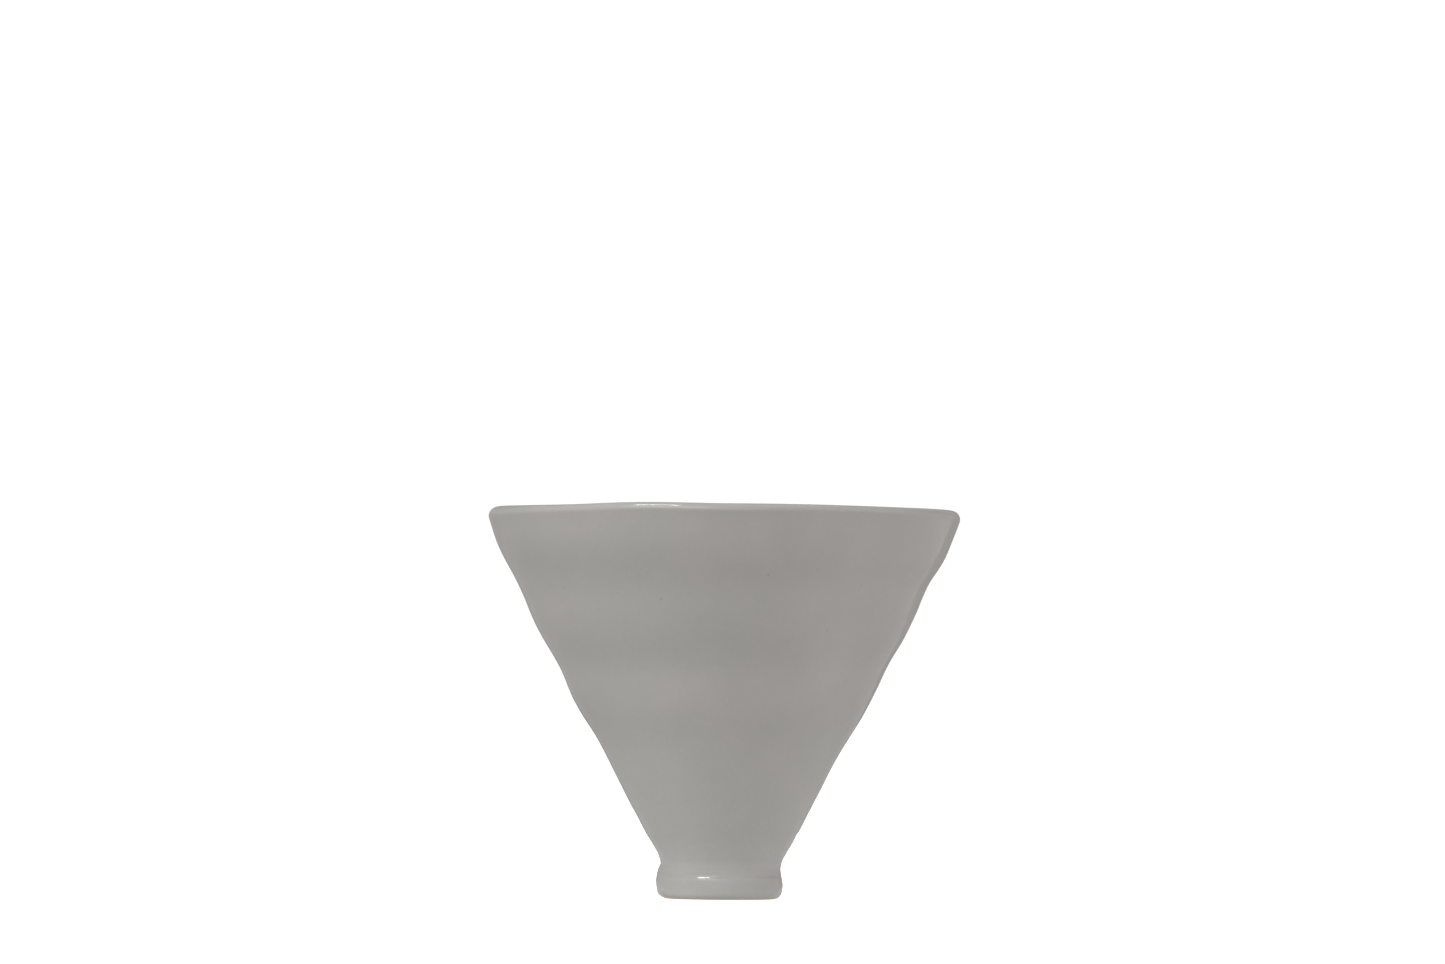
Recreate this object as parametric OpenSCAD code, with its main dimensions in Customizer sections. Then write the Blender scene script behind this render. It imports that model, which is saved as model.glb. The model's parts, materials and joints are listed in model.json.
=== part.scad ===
// Pour over dripper: a one-piece glazed ceramic cone on a small foot ring, and the
// cone-shaped paper filter that it holds. Millimetres, +Z up, origin at the middle of
// the foot's resting face.

/* [Ceramic cone] */
// Widest diameter of the rim
rim_d = 118; // [114:0.5:119.5]
// Height from the resting face to the top of the rim
height = 98; // [96:0.5:102]
// Angle between the cone's outer wall and its axis, in degrees
half_angle = 27.5; // [27.2:0.1:28.2]
// Angle between the cone's inner wall and its axis, in degrees
lining_angle = 28; // [27.5:0.1:28.4]
// Radius of the rounded lip, so also half the wall's thickness at the rim
lip_r = 2.2; // [1.8:0.1:2.4]
// How far the wall has bowed upright by the time it reaches the rim
rim_bow = 1.5; // [0:0.1:2]
// Height at which that bow begins
bow_z = 55; // [45:1:65]

/* [Swells in the outer wall] */
// Number of soft swells
swell_count = 3; // [1:1:3]
// How far each swell stands out
swell_h = 0.9; // [0:0.1:1.2]
// Half of each swell's width, up the wall
swell_w = 13; // [10:0.5:16]
// Height of the lowest swell's crest
swell_z = 49; // [44:0.5:52]
// Distance from one crest to the next
swell_pitch = 18.8; // [16:0.2:19]

/* [Foot and outlet] */
// Diameter of the foot ring
foot_d = 31.5; // [30.8:0.1:33]
// Diameter of the neck above the foot ring
neck_d = 30.2; // [29.6:0.1:30.4]
// Radius of the foot ring's lower edge
foot_edge_r = 2.4; // [1.5:0.1:2.6]
// Radius of the foot ring's shoulder
shoulder_r = 3; // [2:0.1:3.4]
// Radius of the hollow at the neck
neck_r = 2.2; // [1.6:0.1:2.8]
// Diameter of the outlet
drain_d = 18; // [16:0.5:19.5]
// Chamfer round the outlet's lower edge
drain_chamfer = 0.8; // [0.4:0.1:1.2]

/* [Ribs inside the cone] */
// Number of ribs
rib_count = 16; // [12:1:18]
// How far a rib stands off the wall
rib_h = 1.2; // [0.8:0.1:1.6]
// Width of a rib where it meets the wall
rib_w = 2.6; // [2:0.1:3]
// Turn of a rib round the axis, from its lower end to its upper end, in degrees
rib_turn = 75; // [0:5:90]
// Gap between the outlet's upper end and a rib's lower end
rib_low_gap = 3; // [2:0.5:6]
// Gap between a rib's upper end and the top of the rim
rib_top_gap = 9; // [7:0.5:12]

/* [Paper filter] */
// Thickness of the paper
paper_t = 0.3; // [0.2:0.05:0.5]
// Angle between the paper and the cone's axis, in degrees
paper_angle = 30; // [29.5:0.1:30.5]
// Height of the paper's upper edge
paper_top = 90; // [80:0.5:91]
// Level gap between the paper and the ribs, where it comes nearest to them
paper_gap = 0.3; // [0.2:0.05:0.5]
// Turn of the glued seam's overlap round the axis, in degrees
seam_turn = 9; // [6:1:12]

/* [Hidden] */
$fn = 128;

wall_step = 2.5;      // distance between the points that follow the wall
arc_steps = 8;        // points along a rounded edge
rib_rings = 14;       // cross-sections along a rib
rib_root = 1;         // depth of a rib's root inside the wall
rib_fade = 0.12;      // share of a rib's length over which its ends run out
rib_flank = 0.7;      // height of a rib's flanks, as a share of its own
rib_crest_w = 0.64;   // width between its flanks' upper edges, as a share of its own
tip_gap = 0.8;        // gap between the outlet's upper end and the paper's tip
touch_steps = 200;    // places along a rib where its distance to the paper is taken
drain_r = drain_d / 2;
foot_r = foot_d / 2;
slope = tan(half_angle);
lining_slope = tan(lining_angle);

// A number held between two limits.
function held(x, low, high) = min(max(x, low), high);

// How far the wall has bowed inwards at height z.
function bow(z) = rim_bow * pow(max(0, z - bow_z) / (height - bow_z), 2);

// How far the outer wall stands out at height z because of its swells.
function swell(z) = let (
    crests = [for (i = [0 : swell_count - 1]) swell_z + i * swell_pitch],
    parts = [for (c = crests) swell_h * (1 + cos(180 * held((z - c) / swell_w, -1, 1))) / 2]
) parts * [for (c = crests) 1];

// Both walls' radii at height z, each but for a constant.
function outer_shape(z) = slope * z - bow(z) + swell(z);
function inner_shape(z) = lining_slope * z - bow(z);

// The lip is a circle that both walls meet smoothly.
lip_c = [rim_d / 2 - lip_r, height - lip_r];
lip_out_angle = -atan((outer_shape(lip_c[1]) - outer_shape(lip_c[1] - 0.1)) / 0.1);
lip_in_angle = 180 - atan((inner_shape(lip_c[1]) - inner_shape(lip_c[1] - 0.1)) / 0.1);
lip_out = lip_c + lip_r * [cos(lip_out_angle), sin(lip_out_angle)];
lip_in = lip_c + lip_r * [cos(lip_in_angle), sin(lip_in_angle)];
function outer_r(z) = lip_out[0] + outer_shape(z) - outer_shape(lip_out[1]);
function inner_r(z) = lip_in[0] + inner_shape(z) - inner_shape(lip_in[1]);

// The neck's hollow meets the cone above it and the foot ring's shoulder below it.
cone_r0 = outer_r(0);
neck_c = [
    neck_d / 2 + neck_r,
    (neck_d / 2 + neck_r * (1 - cos(half_angle)) - cone_r0) / slope - neck_r * sin(half_angle)
];
reach = shoulder_r + neck_r;
shoulder_c = [
    foot_r - shoulder_r,
    neck_c[1] - sqrt(reach * reach - pow(neck_c[0] - foot_r + shoulder_r, 2))
];
meet_angle = atan2(neck_c[1] - shoulder_c[1], neck_c[0] - shoulder_c[0]);
cone_z0 = neck_c[1] + neck_r * sin(half_angle);
drain_z = (drain_r - inner_r(0)) / lining_slope;

// Points along an arc from angle a to angle b.
function arc(c, r, a, b) = [for (i = [0 : arc_steps]) let (t = a + (b - a) * i / arc_steps)
    c + r * [cos(t), sin(t)]];

// Evenly spaced heights from a to b, without the ends.
function between(a, b) = let (n = ceil(abs(b - a) / wall_step))
    [for (i = [1 : n - 1]) a + (b - a) * i / n];

// Half of the ceramic's section, from the outlet round the outside and back down the inside.
function cone_outline() = concat(
    [[drain_r, drain_chamfer], [drain_r + drain_chamfer, 0]],
    arc([foot_r - foot_edge_r, foot_edge_r], foot_edge_r, -90, 0),
    arc(shoulder_c, shoulder_r, 0, meet_angle),
    [for (i = [1 : arc_steps]) let (t = 180 + meet_angle - (meet_angle + half_angle) * i / arc_steps)
        neck_c + neck_r * [cos(t), sin(t)]],
    [for (z = between(cone_z0, lip_out[1])) [outer_r(z), z]],
    arc(lip_c, lip_r, lip_out_angle, lip_in_angle),
    [for (z = between(lip_in[1], drain_z)) [inner_r(z), z]],
    [[drain_r, drain_z]]
);

// A rib's place at share t of its length: it keeps the same lean to the wall all the way.
rib_z0 = drain_z + rib_low_gap;
rib_z1 = height - rib_top_gap;
function rib_z(t) = rib_z0 + (rib_z1 - rib_z0) * t;
function rib_spread(z) = ln(inner_r(z) / inner_r(rib_z0));
function rib_angle(t) = rib_turn * rib_spread(rib_z(t)) / rib_spread(rib_z1);

// A rib's height at share t: it rises out of the wall at one end and sinks into it at the other.
function rib_rise(t) = rib_h * sin(90 * held(min(t, 1 - t) / rib_fade, 0.05, 1));

// One cross-section of a rib: two points in the wall, two flanks and the crest.
function rib_ring(t) = let (
    r = inner_r(rib_z(t)),
    rise = rib_rise(t),
    section = [
        [rib_root, -rib_w / 2],
        [-rise * rib_flank, -rib_w * rib_crest_w / 2],
        [-rise, 0],
        [-rise * rib_flank, rib_w * rib_crest_w / 2],
        [rib_root, rib_w / 2]
    ]
) [for (p = section) let (a = rib_angle(t), x = r + p[0])
    [x * cos(a) - p[1] * sin(a), x * sin(a) + p[1] * cos(a), rib_z(t)]];

module rib() {
    sides = 5;
    rings = [for (i = [0 : rib_rings]) each rib_ring(i / rib_rings)];
    last = rib_rings * sides;
    walls = [for (i = [0 : rib_rings - 1], j = [0 : sides - 1])
        let (a = i * sides + j, b = i * sides + (j + 1) % sides)
        each [[a, b, a + sides], [b, b + sides, a + sides]]];
    ends = [[for (j = [sides - 1 : -1 : 0]) j], [for (j = [0 : sides - 1]) last + j]];
    polyhedron(rings, concat(walls, ends));
}

// The ceramic: cone, neck, foot ring and ribs, all one firing.
module dripper_cone() {
    color([0.62, 0.61, 0.59])
    union() {
        rotate_extrude() polygon(cone_outline());
        for (i = [0 : rib_count - 1]) rotate([0, 0, 360 * i / rib_count]) rib();
    }
}

// The filter hangs from the ribs near its upper edge, with its blunt tip just above the outlet.
paper_slope = tan(paper_angle);
// The upper edge's radius at which the paper would touch a rib's crest, at share t of the rib's length.
function paper_touch(t) = inner_r(rib_z(t)) - rib_rise(t) + (paper_top - rib_z(t)) * paper_slope;
rib_touches = [for (i = [0 : touch_steps]) let (t = i / touch_steps)
    if (rib_z(t) <= paper_top) paper_touch(t)];
paper_r = min(concat(rib_touches, [inner_r(paper_top)])) - paper_gap;
paper_tip_z = drain_z + tip_gap;
paper_tip_r = paper_r - (paper_top - paper_tip_z) * paper_slope;
paper_across = paper_t / cos(paper_angle);
function paper_outline(outside, inside) = [
    [paper_tip_r - outside, paper_tip_z],
    [paper_r - outside, paper_top],
    [paper_r - inside, paper_top],
    [paper_tip_r - inside, paper_tip_z]
];

module paper_filter() {
    color([0.93, 0.92, 0.89])
    union() {
        rotate_extrude() polygon(paper_outline(0, paper_across));
        translate([0, 0, paper_tip_z]) cylinder(h = paper_t, r = paper_tip_r - paper_across / 2);
        rotate([0, 0, -90 - seam_turn / 2])
            rotate_extrude(angle = seam_turn) polygon(paper_outline(paper_across / 2, 2 * paper_across));
    }
}

dripper_cone();
paper_filter();
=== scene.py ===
import json
import math

import bpy
from mathutils import Euler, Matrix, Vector, noise


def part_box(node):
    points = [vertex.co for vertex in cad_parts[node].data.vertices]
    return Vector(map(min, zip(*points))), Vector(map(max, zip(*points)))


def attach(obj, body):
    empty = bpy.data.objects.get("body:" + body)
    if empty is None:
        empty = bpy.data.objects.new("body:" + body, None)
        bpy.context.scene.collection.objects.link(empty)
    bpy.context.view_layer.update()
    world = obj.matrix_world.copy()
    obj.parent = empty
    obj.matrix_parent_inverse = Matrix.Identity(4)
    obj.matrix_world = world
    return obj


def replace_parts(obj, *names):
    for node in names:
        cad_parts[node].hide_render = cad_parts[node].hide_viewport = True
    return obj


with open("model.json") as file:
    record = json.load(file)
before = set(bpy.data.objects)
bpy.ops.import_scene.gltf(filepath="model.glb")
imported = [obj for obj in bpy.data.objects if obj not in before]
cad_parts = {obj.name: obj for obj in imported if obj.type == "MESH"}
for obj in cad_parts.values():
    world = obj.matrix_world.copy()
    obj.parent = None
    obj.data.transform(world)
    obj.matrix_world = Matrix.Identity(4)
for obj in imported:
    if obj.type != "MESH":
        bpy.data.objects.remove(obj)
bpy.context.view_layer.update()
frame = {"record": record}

# Lengths are in millimetres up to the point where a mesh is made, then in metres.
MM = 0.001
TURN = 2 * math.pi

# The ceramic's driving sizes. They are the CAD model's, but for an outer slope that is 0.1 degrees wider and
# ribs that are wider and rounder.
BOX = frame["record"]["size"]["bbox_m"]
RIM_R = max(BOX[:2]) / MM / 2
HEIGHT = BOX[2] / MM
LIP_R = 2.2
OUTER_SLOPE = math.tan(math.radians(27.6))
INNER_SLOPE = math.tan(math.radians(28))
RIM_BOW = 1.5
BOW_Z = 55
SWELL_H = 0.9
SWELL_HALF = 13
SWELL_CRESTS = (49, 67.8, 86.6)
DRAIN_R = 9
DRAIN_EDGE_R = 0.9
RIBS = 16
RIB_H = 1.2
RIB_W = 3.2
RIB_TURN = math.radians(75)
RIB_LOW_Z = 10.9
RIB_HIGH_Z = HEIGHT - 9
RIB_FADE = 0.12

# The paper's sizes, which are the CAD model's.
PAPER_LOW, PAPER_HIGH = (corner.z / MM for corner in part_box("paper_filter"))
PAPER_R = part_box("paper_filter")[1].x / MM
PAPER_T = 0.3
PAPER_ANGLE = math.radians(30)


def held(x, low=0.0, high=1.0):
    return min(max(x, low), high)


def ease(x, start, end):
    """0 before start, 1 after end, and a smooth rise between them."""
    t = held((x - start) / (end - start))
    return t * t * (3 - 2 * t)


def hump(x, centre, half):
    """1 at centre, falling smoothly to 0 at half to either side."""
    return 0.5 + 0.5 * math.cos(math.pi * held((x - centre) / half, -1, 1))


def through(points, steps):
    """A smooth curve through the points, as a list of points with so many steps in each stretch."""
    ends = [points[0], *points, points[-1]]
    curve = []
    for a, b, c, d in zip(ends, ends[1:], ends[2:], ends[3:]):
        for i in range(steps):
            t = i / steps
            curve.append(tuple(
                0.5 * (
                    2 * q + (r - p) * t
                    + (2 * p - 5 * q + 4 * r - s) * t * t + (3 * q - p - 3 * r + s) * t ** 3
                )
                for p, q, r, s in zip(a, b, c, d)
            ))
    curve.append(points[-1])
    return curve


def mesh_object(name, vertices, faces, material, body):
    mesh = bpy.data.meshes.new(name)
    mesh.from_pydata([Vector(v) * MM for v in vertices], [], faces)
    mesh.validate()
    mesh.polygons.foreach_set("use_smooth", [True] * len(mesh.polygons))
    mesh.materials.append(material)
    piece = bpy.data.objects.new(name, mesh)
    bpy.context.scene.collection.objects.link(piece)
    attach(piece, body)
    return piece


# ---------------------------------------------------------------- materials

def new_material(name, **sockets):
    """A material with its shader's plain values set, and its node tree."""
    material = bpy.data.materials.new(name)
    material.use_nodes = True
    shader = material.node_tree.nodes["Principled BSDF"]
    for socket, value in sockets.items():
        shader.inputs[socket.replace("_", " ")].default_value = value
    return material, material.node_tree, shader


def add(tree, kind, **settings):
    node = tree.nodes.new(kind)
    for key, value in settings.items():
        if key in node.inputs:
            node.inputs[key].default_value = value
        else:
            setattr(node, key, value)
    return node


def noise_of(tree, vector, scale, detail, roughness=0.5, distortion=0.0):
    node = add(
        tree, "ShaderNodeTexNoise", Scale=scale, Detail=detail, Roughness=roughness, Distortion=distortion
    )
    tree.links.new(vector, node.inputs["Vector"])
    return node.outputs["Fac"]


def ramp_of(tree, factor, *stops):
    """A colour ramp; each stop is (place, colour)."""
    node = add(tree, "ShaderNodeValToRGB")
    elements = node.color_ramp.elements
    while len(elements) < len(stops):
        elements.new(0.5)
    for element, (place, colour) in zip(elements, stops):
        element.position = place
        element.color = (*colour, 1)
    tree.links.new(factor, node.inputs["Fac"])
    return node.outputs["Color"]


def mix_of(tree, factor, a, b, blend="MIX"):
    node = add(tree, "ShaderNodeMix", data_type="RGBA", blend_type=blend)
    for socket, kind, value in (("Factor", "VALUE", factor), ("A", "RGBA", a), ("B", "RGBA", b)):
        target = next(s for s in node.inputs if s.name == socket and s.type == kind)
        if isinstance(value, bpy.types.NodeSocket):
            tree.links.new(value, target)
        else:
            target.default_value = value if kind == "VALUE" else (*value, 1)
    return next(s for s in node.outputs if s.type == "RGBA")


def maths(tree, operation, a, b=None, clamp=False):
    node = add(tree, "ShaderNodeMath", operation=operation, use_clamp=clamp)
    for socket, value in zip(node.inputs, (a, b)):
        if isinstance(value, bpy.types.NodeSocket):
            tree.links.new(value, socket)
        elif value is not None:
            socket.default_value = value
    return node.outputs[0]


def bump_of(tree, height, strength, distance, below=None):
    node = add(tree, "ShaderNodeBump", Strength=strength, Distance=distance)
    tree.links.new(height, node.inputs["Height"])
    if below:
        tree.links.new(below, node.inputs["Normal"])
    return node.outputs["Normal"]


GLAZE = (0.392, 0.380, 0.365)
GLAZE_THICK = (0.374, 0.368, 0.350)
GLAZE_THIN = (0.416, 0.398, 0.384)
GRAIN_DARK = (0.31, 0.30, 0.28)
GRAIN_LIGHT = (0.46, 0.45, 0.425)
SPECK = (0.16, 0.145, 0.125)
CLAY_DARK = (0.48, 0.41, 0.34)
BARE_CLAY = (0.56, 0.49, 0.41)
# Specks: cells to a metre, their radius as a share of a cell, the noise that they need and how dark they are.
SPECK_CELLS = 150.0
SPECK_R = 0.028
SPECK_NEED = 0.56
SPECK_DEPTH = 0.45
# The glaze's lower edge: its waviness and height in metres, and how fast it covers the clay, to a metre.
GLAZE_EDGE_WAVE = 0.0005
GLAZE_EDGE_Z = 0.00005
GLAZE_EDGE_SHARP = 6000
# Roughness of the glaze, what its pooling adds and what bare clay adds.
GLAZE_ROUGH = 0.02
POOL_ROUGH = 0.02
CLAY_ROUGH = 0.7


def glaze_material():
    """Glossy warm grey glaze over stoneware: it pools a little darker, thins a little lighter, has a few fine
    specks and stops short of the foot's resting face."""
    material, tree, shader = new_material("warm_grey_glaze", IOR=1.5)
    place = add(tree, "ShaderNodeTexCoord").outputs["Object"]
    split = add(tree, "ShaderNodeSeparateXYZ")
    tree.links.new(place, split.inputs[0])

    pooling = noise_of(tree, place, scale=38, detail=3, roughness=0.55)
    colour = ramp_of(tree, pooling, (0.3, GLAZE_THICK), (0.52, GLAZE), (0.75, GLAZE_THIN))
    grain = noise_of(tree, place, scale=900, detail=4, roughness=0.7)
    colour = mix_of(tree, 0.10, colour, ramp_of(tree, grain, (0.3, GRAIN_DARK), (0.7, GRAIN_LIGHT)))

    cells = add(tree, "ShaderNodeTexVoronoi", Scale=SPECK_CELLS, Randomness=1.0)
    tree.links.new(place, cells.inputs["Vector"])
    rare = noise_of(tree, place, scale=120, detail=0)
    near = maths(tree, "LESS_THAN", cells.outputs["Distance"], SPECK_R)
    speck = maths(tree, "MULTIPLY", near, maths(tree, "GREATER_THAN", rare, SPECK_NEED))
    colour = mix_of(tree, maths(tree, "MULTIPLY", speck, SPECK_DEPTH), colour, SPECK)

    edge_wobble = maths(tree, "MULTIPLY", noise_of(tree, place, scale=420, detail=2), GLAZE_EDGE_WAVE)
    height = maths(tree, "SUBTRACT", split.outputs["Z"], edge_wobble)
    above = maths(tree, "SUBTRACT", height, GLAZE_EDGE_Z)
    glazed = maths(tree, "MULTIPLY", above, GLAZE_EDGE_SHARP, clamp=True)
    clay = ramp_of(tree, grain, (0.3, CLAY_DARK), (0.7, BARE_CLAY))
    colour = mix_of(tree, glazed, clay, colour)
    tree.links.new(colour, shader.inputs["Base Color"])

    gloss = maths(tree, "ADD", maths(tree, "MULTIPLY", pooling, POOL_ROUGH), GLAZE_ROUGH)
    bare = maths(tree, "MULTIPLY", maths(tree, "SUBTRACT", 1.0, glazed), CLAY_ROUGH)
    tree.links.new(maths(tree, "ADD", gloss, bare), shader.inputs["Roughness"])

    peel = bump_of(tree, noise_of(tree, place, scale=230, detail=1), strength=0.04, distance=0.0005)
    fine = bump_of(tree, grain, strength=0.01, distance=0.0002, below=peel)
    tree.links.new(fine, shader.inputs["Normal"])
    return material


PAPER = (0.86, 0.84, 0.79)
PAPER_CLOUD = (0.82, 0.80, 0.745)
PAPER_DARK = (0.79, 0.765, 0.705)
PAPER_LIGHT = (0.90, 0.88, 0.835)
# How many times finer the creping is across the sheet than along it.
CREPE_STRETCH = 7


def paper_material():
    """Bleached filter paper: fibres, fine creping across the sheet, and no gloss. Its texture lies on the
    flat sheet."""
    material, tree, shader = new_material("filter_paper", Roughness=0.92)
    sheet_place = add(tree, "ShaderNodeUVMap", uv_map="flat_sheet").outputs["UV"]
    stretch = add(tree, "ShaderNodeMapping")
    stretch.inputs["Scale"].default_value = (1, CREPE_STRETCH, 1)
    tree.links.new(sheet_place, stretch.inputs["Vector"])
    crepe_place = stretch.outputs["Vector"]
    crepe = noise_of(tree, crepe_place, scale=260, detail=4, roughness=0.6, distortion=0.6)
    fibre = noise_of(tree, sheet_place, scale=1500, detail=5, roughness=0.75, distortion=1.5)
    cloud = noise_of(tree, sheet_place, scale=90, detail=3)
    colour = ramp_of(tree, cloud, (0.3, PAPER_CLOUD), (0.7, PAPER))
    colour = mix_of(tree, 0.35, colour, ramp_of(tree, fibre, (0.35, PAPER_DARK), (0.65, PAPER_LIGHT)))
    # Painted shade: the crimped seam is drawn darker, in place of the shade that falls between its crimps.
    seam = add(tree, "ShaderNodeAttribute", attribute_name="seam").outputs["Fac"]
    colour = mix_of(tree, maths(tree, "MULTIPLY", seam, 0.5), colour, PAPER_DARK)
    tree.links.new(colour, shader.inputs["Base Color"])
    wrinkles = noise_of(tree, sheet_place, scale=75, detail=4, roughness=0.6, distortion=0.8)
    wrinkled = bump_of(tree, wrinkles, strength=0.5, distance=0.0012)
    creped = bump_of(tree, crepe, strength=0.6, distance=0.0003, below=wrinkled)
    fibrous = bump_of(tree, fibre, strength=0.35, distance=0.0001, below=creped)
    tree.links.new(fibrous, shader.inputs["Normal"])
    return material


# ---------------------------------------------------------------- the ceramic

def bow(z):
    return RIM_BOW * (max(0, z - BOW_Z) / (HEIGHT - BOW_Z)) ** 2


def swell(z):
    return SWELL_H * sum(hump(z, crest, SWELL_HALF) for crest in SWELL_CRESTS)


def outer_shape(z):
    return OUTER_SLOPE * z - bow(z) + swell(z)


def inner_shape(z):
    return INNER_SLOPE * z - bow(z)


# The wall is a little fuller than the CAD's plain curve, and comes back to it between this height and the
# lip.
WALL_FULLER = 0.22
FULLER_TO_Z = 88
LIP_C = (RIM_R - LIP_R, HEIGHT - LIP_R)
LIP_OUT = -math.atan((outer_shape(LIP_C[1]) - outer_shape(LIP_C[1] - 0.1)) / 0.1)
LIP_IN = math.pi - math.atan((inner_shape(LIP_C[1]) - inner_shape(LIP_C[1] - 0.1)) / 0.1)


def lip_point(angle):
    return LIP_C[0] + LIP_R * math.cos(angle), LIP_C[1] + LIP_R * math.sin(angle)


def outer_r(z):
    r, edge_z = lip_point(LIP_OUT)
    fuller = WALL_FULLER * (1 - ease(z, FULLER_TO_Z, edge_z))
    return r + outer_shape(z) - outer_shape(edge_z) + fuller


def inner_r(z):
    r, edge_z = lip_point(LIP_IN)
    return r + inner_shape(z) - inner_shape(edge_z)


# In front the lip is tighter on its outer side.
LIP_FRONT_R = 1.5
LIP_FRONT_Z = HEIGHT - LIP_FRONT_R * (1 - math.sin(LIP_OUT))
LIP_FRONT_C = outer_r(LIP_FRONT_Z) - LIP_FRONT_R * math.cos(LIP_OUT)


def lip_front_point(angle):
    if angle < math.pi / 2:
        z = HEIGHT - LIP_FRONT_R + LIP_FRONT_R * math.sin(angle)
        return LIP_FRONT_C + LIP_FRONT_R * math.cos(angle), z
    r, z = lip_point(angle)
    return r + (LIP_FRONT_C - LIP_C[0]) * (1 - ease(angle, math.pi / 2, LIP_IN)), z


DRAIN_Z = (DRAIN_R - inner_r(0)) / INNER_SLOPE
WALL_Z = 16
# How many stretches each part of the section has.
DRAIN_EDGE_STEPS = 6
FOOT_STEPS = 8
WALL_STEPS = 110
LIP_STEPS = 32
LINING_STEPS = 96
OUTLET_STEPS = 6

# The foot was turned by hand: its shoulder is soft and high on the left, low on the right and crisp in front.
FOOT_LEFT = (
    (13.0, 0), (14.5, 0.25), (15.85, 1.4), (16.28, 4.0), (16.2, 5.33), (16.0, 6.5), (15.78, 7.3),
    (15.55, 7.9), (15.2, 8.9), (15.88, 11.2), (17.5, 14)
)
FOOT_RIGHT = (
    (13.0, 0), (14.3, 0.3), (15.15, 1.3), (15.5, 3.2), (15.38, 4.34), (15.2, 5.4), (15.08, 6.07), (15.0, 6.6),
    (14.93, 7.7), (15.55, 10), (17.85, 14)
)
FOOT_FRONT = (
    (13.0, 0), (14.8, 0.2), (15.62, 0.9), (15.82, 2.2), (15.77, 4.2), (15.66, 5.2), (15.36, 5.8),
    (15.31, 6.6), (15.42, 7.8), (15.85, 9.8), (17.75, 14)
)


def ceramic_rings():
    """The section from the outlet round the outside and back down the inside. Each ring has its (r, z) on the
    left, on the right and in front, its share of the ribs' turn, and the half-angle that the middle half of a
    rib's columns covers."""
    even = TURN / RIBS / 4
    top_z = lip_point(LIP_OUT)[1]
    wall_foot = (outer_r(WALL_Z), WALL_Z)
    foot = [through([*side, wall_foot], FOOT_STEPS) for side in (FOOT_LEFT, FOOT_RIGHT, FOOT_FRONT)]
    rings = [(((DRAIN_R, DRAIN_EDGE_R),) * 3, 0, even)]
    for i in range(1, DRAIN_EDGE_STEPS + 1):
        a = math.pi - math.pi / 2 * i / DRAIN_EDGE_STEPS
        edge = (DRAIN_R + DRAIN_EDGE_R * (1 + math.cos(a)), DRAIN_EDGE_R * (1 - math.sin(a)))
        rings.append(((edge,) * 3, 0, even))
    rings += [(sides, 0, even) for sides in zip(*foot)]
    for i in range(1, WALL_STEPS):
        t = i / WALL_STEPS
        z = WALL_Z + (top_z - WALL_Z) * t
        front_z = WALL_Z + (LIP_FRONT_Z - WALL_Z) * t
        rings.append((((outer_r(z), z), (outer_r(z), z), (outer_r(front_z), front_z)), t, even))
    for i in range(LIP_STEPS + 1):
        a = LIP_OUT + (LIP_IN - LIP_OUT) * i / LIP_STEPS
        rings.append(((lip_point(a), lip_point(a), lip_front_point(a)), 1, even))
    low_z = lip_point(LIP_IN)[1]
    for i in range(1, LINING_STEPS + 1):
        z = low_z + (DRAIN_Z - low_z) * i / LINING_STEPS
        r = inner_r(z)
        narrow = math.asin(held(RIB_W / 2 / r, 0, math.sin(1.6 * even)))
        blend = ease(z, low_z, RIB_HIGH_Z) if z > RIB_HIGH_Z else 0
        rings.append((((r, z),) * 3, rib_share(z), narrow + (even - narrow) * blend))
    for i in range(1, OUTLET_STEPS):
        z = DRAIN_Z + (DRAIN_EDGE_R - DRAIN_Z) * i / OUTLET_STEPS
        rings.append((((DRAIN_R, z),) * 3, 0, even))
    return rings


def rib_share(z):
    """How far round a rib has turned at height z, from 0 at its lower end to 1 at its upper end."""
    z = held(z, RIB_LOW_Z, RIB_HIGH_Z)
    return math.log(inner_r(z) / inner_r(RIB_LOW_Z)) / math.log(inner_r(RIB_HIGH_Z) / inner_r(RIB_LOW_Z))


def rib_rise(z):
    t = (z - RIB_LOW_Z) / (RIB_HIGH_Z - RIB_LOW_Z)
    return RIB_H * math.sin(math.pi / 2 * held(min(t, 1 - t) / RIB_FADE))


COLUMNS = 16


def column_angle(column, half):
    """A column's angle from its rib's middle: the middle half of the columns lies within half of it."""
    s = column / COLUMNS * 2 - 1
    cell = TURN / RIBS / 2
    if abs(s) <= 0.5:
        return s * 2 * half
    return math.copysign(half + (abs(s) - 0.5) * 2 * (cell - half), s)


# The rim stands this far to the right of the foot's axis, and comes to that between two heights.
RIM_SHIFT = 0.15
SHIFT_FROM_Z = 82
# The rim's unevenness fades out below this height, and both are full at the upper one.
DROP_FROM_Z = 60
RIM_FULL_Z = 96


# Flats that the potter's hand left on the right and on the left: height, half-length and depth. A depth below
# 0 is a fuller place.
RIGHT_FLATS = (
    (89.5, 5, 0.2), (80, 4.5, 0.18), (78, 11, 0.2), (68.7, 5, 0.16), (50, 6, 0.17), (33, 7, 0.19),
    (18, 7, -0.2)
)
LEFT_FLATS = ((85, 9, 0.18), (82, 5, 0.1), (55.5, 6, 0.14), (41, 6, 0.2), (35, 6, 0.08), (24, 6, -0.08))


def hand_wobble(angle, z):
    """The little that a thrown wall is out of round."""
    share = held(z / HEIGHT)
    to_right = (0.5 + 0.5 * math.cos(angle)) ** 2
    to_left = (0.5 - 0.5 * math.cos(angle)) ** 2
    flats = sum(depth * hump(z, at, half) * to_right for at, half, depth in RIGHT_FLATS)
    flats += sum(depth * hump(z, at, half) * to_left for at, half, depth in LEFT_FLATS)
    return share * (0.10 * math.sin(2 * angle) + 0.07 * math.sin(3 * angle)) - flats


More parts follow.
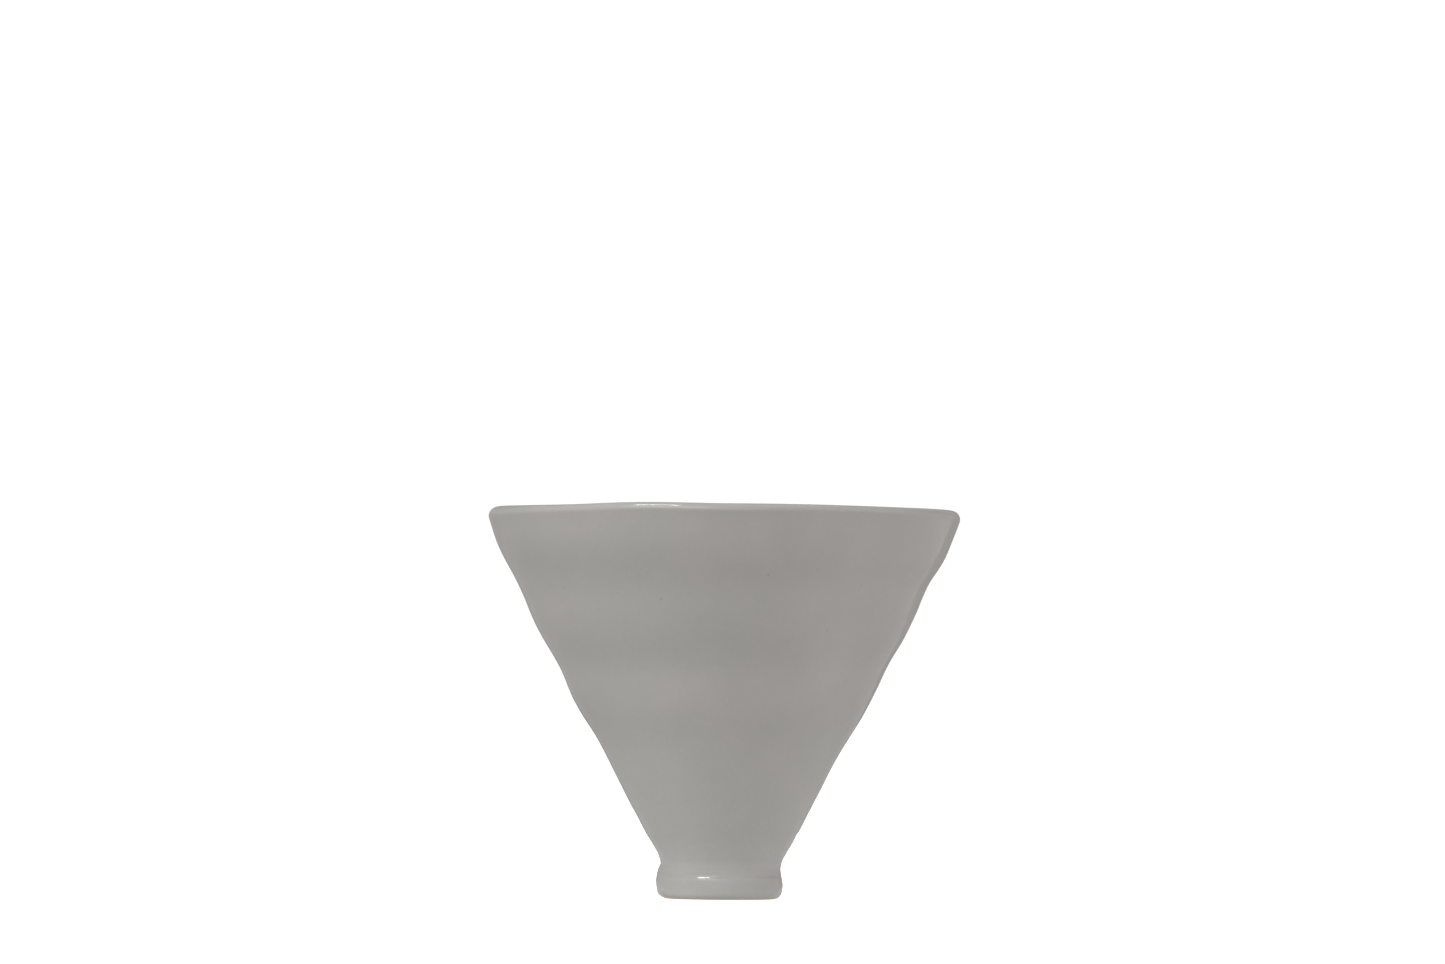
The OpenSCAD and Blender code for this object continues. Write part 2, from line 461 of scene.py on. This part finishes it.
# How far the rim stands below its full height, and where it stands higher: angle and half-width in degrees,
# and size.
RIM_DROP = 0.60
RIM_CRESTS = ((-111, 24, 0.44), (-80, 45, 0.30), (-168, 22, 0.14))


def rim_drop(angle):
    """How far the hand-made rim stands below its full height. It is highest at a crest left of the front."""
    degrees = math.degrees(angle) % 360 - 360
    rise = [size * hump(degrees, at, half) for at, half, size in RIM_CRESTS]
    return RIM_DROP - rise[0] - rise[1] - rise[2]


def placed(sides, angle):
    """The section's point at an angle, from its points on the left, on the right and in front."""
    left, right, front = (Vector(side) for side in sides)
    return left.lerp(right, 0.5 + 0.5 * math.cos(angle)).lerp(front, ease(-math.sin(angle), 0.05, 0.8))


def make_ceramic():
    rings = ceramic_rings()
    inside_from = len(rings) - LINING_STEPS - (OUTLET_STEPS - 1)
    vertices = []
    for index, (sides, turn, half) in enumerate(rings):
        for rib in range(RIBS):
            for column in range(COLUMNS):
                off = column_angle(column, half)
                angle = rib * TURN / RIBS + RIB_TURN * turn + off
                r, z = placed(sides, angle)
                if index >= inside_from:
                    across = held(abs(r * math.sin(off)) / (RIB_W / 2))
                    r -= rib_rise(z) * (1 - across ** 2) ** 2 if RIB_LOW_Z < z < RIB_HIGH_Z else 0
                if z > WALL_Z:
                    r += hand_wobble(angle, z)
                shift = RIM_SHIFT * ease(z, SHIFT_FROM_Z, RIM_FULL_Z)
                drop = rim_drop(angle) * ease(z, DROP_FROM_Z, RIM_FULL_Z)
                vertices.append((r * math.cos(angle) + shift, r * math.sin(angle), z - drop))
    round_count = RIBS * COLUMNS
    faces = []
    for ring in range(len(rings)):
        following = (ring + 1) % len(rings)
        for i in range(round_count):
            j = (i + 1) % round_count
            a, b = ring * round_count, following * round_count
            faces.append((a + i, a + j, b + j, b + i))
    return mesh_object("ceramic_cone", vertices, faces, glaze_material(), "cone")


# ---------------------------------------------------------------- the paper

PAPER_COLUMNS = 288
PAPER_ROWS = 72
TIP_ROWS = 5
SEAM_HALF = math.radians(4.5)
SEAM_ANGLE = -math.pi / 2
CRIMP = 2.2
CRIMP_DEPTH = 0.07
# How much the seam's two layers add on the outside and the inside.
LAP_OUT = 0.16
LAP_IN = 0.1
TIP_HEIGHT = 3.4
TIP_BOWL = 0.05
# The mesh's mouth lies this far below the CAD's, and its tip this far above, and rows gather towards the tip.
MOUTH_DOWN = 0.35
MOUTH_WAVE = 0.3
TIP_UP = 0.06
ROW_POWER = 1.35
# How far the paper sinks in between its creases, and how much more its waves and wrinkles add.
SLACK = 0.95
WAVE = 1.2
WRINKLE = 0.25


def paper_r(z):
    return PAPER_R - (PAPER_HIGH - z) * math.tan(PAPER_ANGLE)


def seam_share(angle):
    """1 on the crimped seam, 0 off it."""
    off = abs((angle - SEAM_ANGLE + math.pi) % TURN - math.pi)
    return 1 - ease(off, SEAM_HALF * 0.9, SEAM_HALF)


def free_of_tip(z):
    return ease(z, PAPER_LOW + 4, PAPER_LOW + 9)


def tip_rounded(r, z):
    """The cone's radius drawn in to a small round tip."""
    up = (z - PAPER_LOW) / TIP_HEIGHT
    return r if up >= 1 else r * math.sqrt(max(0.0, 1 - (1 - up) ** 2.2))


def paper_dent(angle, z):
    """How far the paper stands in from a true cone: it is creased at its seam and at the fold opposite, is a
    little slack between them and waves towards its free edge."""
    from_crease = abs(math.sin(angle - SEAM_ANGLE))
    free = ease(z, PAPER_LOW, PAPER_HIGH)
    slack = SLACK * free * from_crease ** 0.7
    around = Vector((math.cos(angle), math.sin(angle), 0))
    wave = 0.5 + 0.5 * noise.noise(3.2 * around + Vector((0, 0, z / 45)))
    wrinkle = 0.5 + 0.5 * noise.noise(9 * around + Vector((4, 0, z / 16)))
    return slack + (WAVE * wave + WRINKLE * wrinkle) * free * from_crease


def paper_side(angle, z, inside):
    """A point on the paper's outer or inner face."""
    r = tip_rounded(paper_r(z), z) - paper_dent(angle, z)
    lap = seam_share(angle)
    crimp = CRIMP_DEPTH * lap * math.sin(TURN * z / CRIMP)
    if inside:
        return max(r - (PAPER_T + LAP_IN * lap + crimp) / math.cos(PAPER_ANGLE), 0.1)
    return max(r + LAP_OUT * lap * free_of_tip(z) - crimp * free_of_tip(z), 0.2)


def make_paper():
    vertices, faces, flat = [], [], []
    slant = 1 / math.cos(PAPER_ANGLE)
    apex_z = PAPER_HIGH - PAPER_R / math.tan(PAPER_ANGLE)
    for inside in (False, True):
        for row in range(PAPER_ROWS + 1):
            t = row / PAPER_ROWS
            for column in range(PAPER_COLUMNS):
                angle = column * TURN / PAPER_COLUMNS
                top = PAPER_HIGH - MOUTH_DOWN + MOUTH_WAVE * math.sin(2 * angle + 1) * math.sin(3 * angle)
                z = PAPER_LOW + TIP_UP + (top - PAPER_LOW - TIP_UP) * t ** ROW_POWER
                r = paper_side(angle, z, inside)
                vertices.append((r * math.cos(angle), r * math.sin(angle), z))
                out = (z - apex_z) * slant * MM
                spread = (angle - SEAM_ANGLE) % TURN * math.sin(PAPER_ANGLE)
                flat.append((out * math.cos(spread), out * math.sin(spread)))
    per_side = (PAPER_ROWS + 1) * PAPER_COLUMNS
    for row in range(PAPER_ROWS):
        for i in range(PAPER_COLUMNS):
            j = (i + 1) % PAPER_COLUMNS
            a, b = row * PAPER_COLUMNS + i, row * PAPER_COLUMNS + j
            c, d = a + PAPER_COLUMNS, b + PAPER_COLUMNS
            faces.append((a, b, d, c))
            faces.append((per_side + a, per_side + c, per_side + d, per_side + b))
    last = PAPER_ROWS * PAPER_COLUMNS
    for i in range(PAPER_COLUMNS):
        j = (i + 1) % PAPER_COLUMNS
        faces.append((last + i, last + j, per_side + last + j, per_side + last + i))
    # The tip: each face closes in a shallow bowl.
    for inside, start in ((False, 0), (True, per_side)):
        ring = start
        for row in range(1, TIP_ROWS + 1):
            t = row / (TIP_ROWS + 1)
            base = len(vertices)
            for column in range(PAPER_COLUMNS):
                angle = column * TURN / PAPER_COLUMNS
                x, y, z = vertices[start + column]
                drop = TIP_BOWL * math.sin(math.pi / 2 * t)
                vertices.append((x * (1 - t), y * (1 - t), z - drop))
                flat.append(tuple(c * (1 - t) for c in flat[start + column]))
            for i in range(PAPER_COLUMNS):
                j = (i + 1) % PAPER_COLUMNS
                quad = (base + i, base + j, ring + j, ring + i)
                faces.append(quad if not inside else quad[::-1])
            ring = base
        vertices.append((0, 0, vertices[start][2] - TIP_BOWL))
        flat.append((0, 0))
        centre = len(vertices) - 1
        for i in range(PAPER_COLUMNS):
            j = (i + 1) % PAPER_COLUMNS
            side = (centre, ring + j, ring + i)
            faces.append(side if not inside else side[::-1])
    paper = mesh_object("paper_cone", vertices, faces, paper_material(), "filter")
    # The seam mask, which carries the painted shade of the crimped seam into the paper's colour.
    seam = paper.data.attributes.new("seam", "FLOAT", "POINT")
    for spot, vertex in zip(seam.data, paper.data.vertices):
        spot.value = seam_share(math.atan2(vertex.co.y, vertex.co.x))
    layer = paper.data.uv_layers.new(name="flat_sheet")
    for loop in paper.data.loops:
        layer.data[loop.index].uv = flat[loop.vertex_index]
    return paper


# ---------------------------------------------------------------- studio

EYE_DISTANCE = 2.2
EYE_HEIGHT = 0.052
EYE_RIGHT = -0.0004
LENS = 219
TILT_UP = math.radians(1.3597)
ROLL = math.radians(0.45)


def make_camera():
    data = bpy.data.cameras.new("camera")
    data.lens = LENS
    data.clip_start = 0.05
    data.clip_end = 50
    camera = bpy.data.objects.new("camera", data)
    bpy.context.scene.collection.objects.link(camera)
    camera.location = (EYE_RIGHT, -EYE_DISTANCE, EYE_HEIGHT)
    look = Euler((math.pi / 2 + TILT_UP, 0, 0)).to_quaternion() @ Euler((0, 0, ROLL)).to_quaternion()
    camera.rotation_mode = "QUATERNION"
    camera.rotation_quaternion = look
    bpy.context.scene.camera = camera


def plate(name, corners):
    mesh = bpy.data.meshes.new(name)
    mesh.from_pydata(corners, [], [tuple(range(len(corners)))])
    piece = bpy.data.objects.new(name, mesh)
    bpy.context.scene.collection.objects.link(piece)
    return piece


def seen_by(piece, camera, others):
    piece.visible_camera = camera
    for ray in ("diffuse", "glossy", "transmission", "volume_scatter", "shadow"):
        setattr(piece, "visible_" + ray, others)


def plain(name, colour, strength, light=None):
    """A dull surface with light of its own."""
    glow = (*(light or colour), 1)
    material, tree, shader = new_material(
        name, Base_Color=(*colour, 1), Roughness=0.9, Emission_Color=glow, Emission_Strength=strength
    )
    shader.inputs["Specular IOR Level"].default_value = 0
    return material


def table_material():
    """A grey table top with its own light, which is brighter in a few soft patches."""
    material, tree, shader = new_material("table_top", Base_Color=(0.3, 0.3, 0.3, 1), Roughness=0.9)
    shader.inputs["Specular IOR Level"].default_value = 0
    place = add(tree, "ShaderNodeTexCoord").outputs["Object"]
    light = TABLE_LIGHT
    for x, y, radius, colour in TABLE_PATCHES:
        away = add(tree, "ShaderNodeVectorMath", operation="DISTANCE")
        tree.links.new(place, away.inputs[0])
        away.inputs[1].default_value = (x, y, 0)
        fall = add(tree, "ShaderNodeMapRange", interpolation_type="SMOOTHSTEP")
        for socket, value in (("From Min", 0), ("From Max", radius), ("To Min", 1), ("To Max", 0)):
            fall.inputs[socket].default_value = value
        tree.links.new(away.outputs["Value"], fall.inputs["Value"])
        patch = mix_of(tree, fall.outputs["Result"], (0, 0, 0), colour)
        light = mix_of(tree, 1.0, light, patch, "ADD")
    tree.links.new(light, shader.inputs["Emission Color"])
    shader.inputs["Emission Strength"].default_value = 1
    return material


LAMP_DISTANCE = 1.6


def area_light(name, azimuth, elevation, size, brightness, spin=0):
    """A soft box that looks at the object. Azimuth is from the camera's side, positive to the right."""
    data = bpy.data.lights.new(name, "AREA")
    data.shape = "RECTANGLE"
    data.size, data.size_y = size
    data.energy = brightness * math.pi * size[0] * size[1]
    lamp = bpy.data.objects.new(name, data)
    bpy.context.scene.collection.objects.link(lamp)
    aim = Vector((0, 0, HEIGHT * MM / 2))
    lamp.location = aim + LAMP_DISTANCE * toward(azimuth, elevation)
    look = (aim - lamp.location).to_track_quat("-Z", "Y") @ Euler((0, 0, math.radians(spin))).to_quaternion()
    lamp.rotation_euler = look.to_euler()
    return lamp


# The tent's light by height: each stop is (sine of the elevation, colour).
TENT_BACK = (0.409, 0.391, 0.378)
TENT_SIDES = (0.689, 0.663, 0.651)
TENT_ROOF = (0.3, 0.3, 0.3)
TENT_FAR = (0.12, 0.12, 0.12)
TENT = ((0.07, TENT_BACK), (0.13, TENT_SIDES), (0.47, TENT_SIDES), (0.53, TENT_ROOF))
# Behind the object the tent darkens with height instead. That sets in between these two values of a
# direction's y.
TENT_REAR = ((0.13, TENT_BACK), (0.35, TENT_FAR))
BEHIND_FROM = -0.1
BEHIND_FULL = 0.45
# What the camera sees round the object, just past white.
CAMERA_WHITE = (1.02, 1.02, 1.02)
# Where lamps light the tent from outside: azimuth from the camera's side, elevation, reach and colour.
GLOWS = (
    (0, 8, 30, (0.306, 0.419, 0.505)),
    (-30, 32, 30, (1.80, 1.86, 1.83)),
)
# The table's light, and the places where it is brighter: x, y, radius and colour.
TABLE_LIGHT = (0.129, 0.125, 0.115)
TABLE_PATCHES = (
    (0.0, 0.0, 0.16, (0.280, 0.288, 0.292)),
    (0.15, -0.15, 0.20, (0.419, 0.361, 0.366)),
    (0.0, -0.38, 0.30, (0.326, 0.271, 0.292)),
    (0.34, 0.34, 0.22, (0.090, 0.090, 0.085)),
    (0.0, -0.05, 0.07, (0.080, 0.080, 0.078)),
)

# The floor and the table: their radii and how far below the foot they lie.
FLOOR_R = 30
FLOOR_DOWN = 0.0001
TABLE_R = 0.7
TABLE_DOWN = 0.0002
# A grey card stands behind the object, and shows only as a reflection: x of its ends, y, height and colour.
CARD = (-0.10, 0.222, 0.30, 0.35, (0.312, 0.295, 0.285))


def toward(azimuth, elevation):
    """The direction of something seen from the object. Azimuth is 0 on the camera's side and grows to the
    right."""
    a, e = math.radians(azimuth), math.radians(elevation)
    return Vector((math.sin(a) * math.cos(e), -math.cos(a) * math.cos(e), math.sin(e)))


def glow_of(tree, direction, azimuth, elevation, reach, colour):
    aim = add(tree, "ShaderNodeVectorMath", operation="DOT_PRODUCT")
    tree.links.new(direction, aim.inputs[0])
    aim.inputs[1].default_value = toward(azimuth, elevation)
    fall = add(tree, "ShaderNodeMapRange", interpolation_type="SMOOTHERSTEP")
    fall.inputs["From Min"].default_value = math.cos(math.radians(reach))
    tree.links.new(aim.outputs["Value"], fall.inputs["Value"])
    return mix_of(tree, fall.outputs["Result"], (0, 0, 0), colour)


def make_studio():
    sides = 96
    around = [TURN * i / sides for i in range(sides)]
    floor = plate("floor", [(FLOOR_R * math.cos(a), FLOOR_R * math.sin(a), -FLOOR_DOWN) for a in around])
    floor.data.materials.append(plain("white_floor", (0.9, 0.9, 0.9), 0.8))
    seen_by(floor, camera=True, others=False)
    table = plate("table", [(TABLE_R * math.cos(a), TABLE_R * math.sin(a), -TABLE_DOWN) for a in around])
    table.data.materials.append(table_material())
    seen_by(table, camera=False, others=True)
    left, right, back, top, colour = CARD
    card = plate("card", [(left, back, 0), (right, back, 0), (right, back, top), (left, back, top)])
    card.data.materials.append(plain("card_grey", (0, 0, 0), 1, colour))
    seen_by(card, camera=False, others=False)
    card.visible_glossy = True

    world = bpy.data.worlds.new("soft_tent")
    bpy.context.scene.world = world
    world.use_nodes = True
    tree = world.node_tree
    background = tree.nodes["Background"]
    direction = add(tree, "ShaderNodeTexCoord").outputs["Generated"]
    split = add(tree, "ShaderNodeSeparateXYZ")
    tree.links.new(direction, split.inputs[0])
    rise = maths(tree, "ADD", maths(tree, "MULTIPLY", split.outputs["Z"], 0.5), 0.5)
    tent, far = (
        ramp_of(tree, rise, *((0.5 + sine / 2, colour) for sine, colour in stops))
        for stops in (TENT, TENT_REAR)
    )
    behind = add(tree, "ShaderNodeMapRange", interpolation_type="SMOOTHSTEP")
    behind.inputs["From Min"].default_value = BEHIND_FROM
    behind.inputs["From Max"].default_value = BEHIND_FULL
    tree.links.new(split.outputs["Y"], behind.inputs["Value"])
    tent = mix_of(tree, behind.outputs["Result"], tent, far)
    for glow in GLOWS:
        tent = mix_of(tree, 1.0, tent, glow_of(tree, direction, *glow), "ADD")
    path = add(tree, "ShaderNodeLightPath").outputs["Is Camera Ray"]
    tree.links.new(mix_of(tree, path, tent, CAMERA_WHITE), background.inputs["Color"])
    for lamp in (
        area_light("softbox", -49, 60, (0.45, 0.14), 30, spin=19),
        area_light("left_bulb", -64, 56.5, (0.05, 0.10), 30),
        area_light("right_bulb", -33, 62, (0.05, 0.10), 30),
    ):
        lamp.visible_diffuse = False
    for lamp in (
        area_light("left_fill", -60, 32, (1.1, 0.8), 3.8),
        area_light("right_fill", 95, 8, (1.0, 0.7), 4.44),
        area_light("back_fill", 180, 15, (1.5, 0.8), 2.6),
        area_light("top_fill", 0, 90, (1.5, 1.5), 1.4),
    ):
        lamp.visible_glossy = False


def main():
    make_camera()
    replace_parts(make_ceramic(), "dripper_cone")
    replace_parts(make_paper(), "paper_filter")
    make_studio()
    scene = bpy.context.scene
    scene.view_settings.view_transform = "Standard"
    scene.view_settings.look = "None"


main()
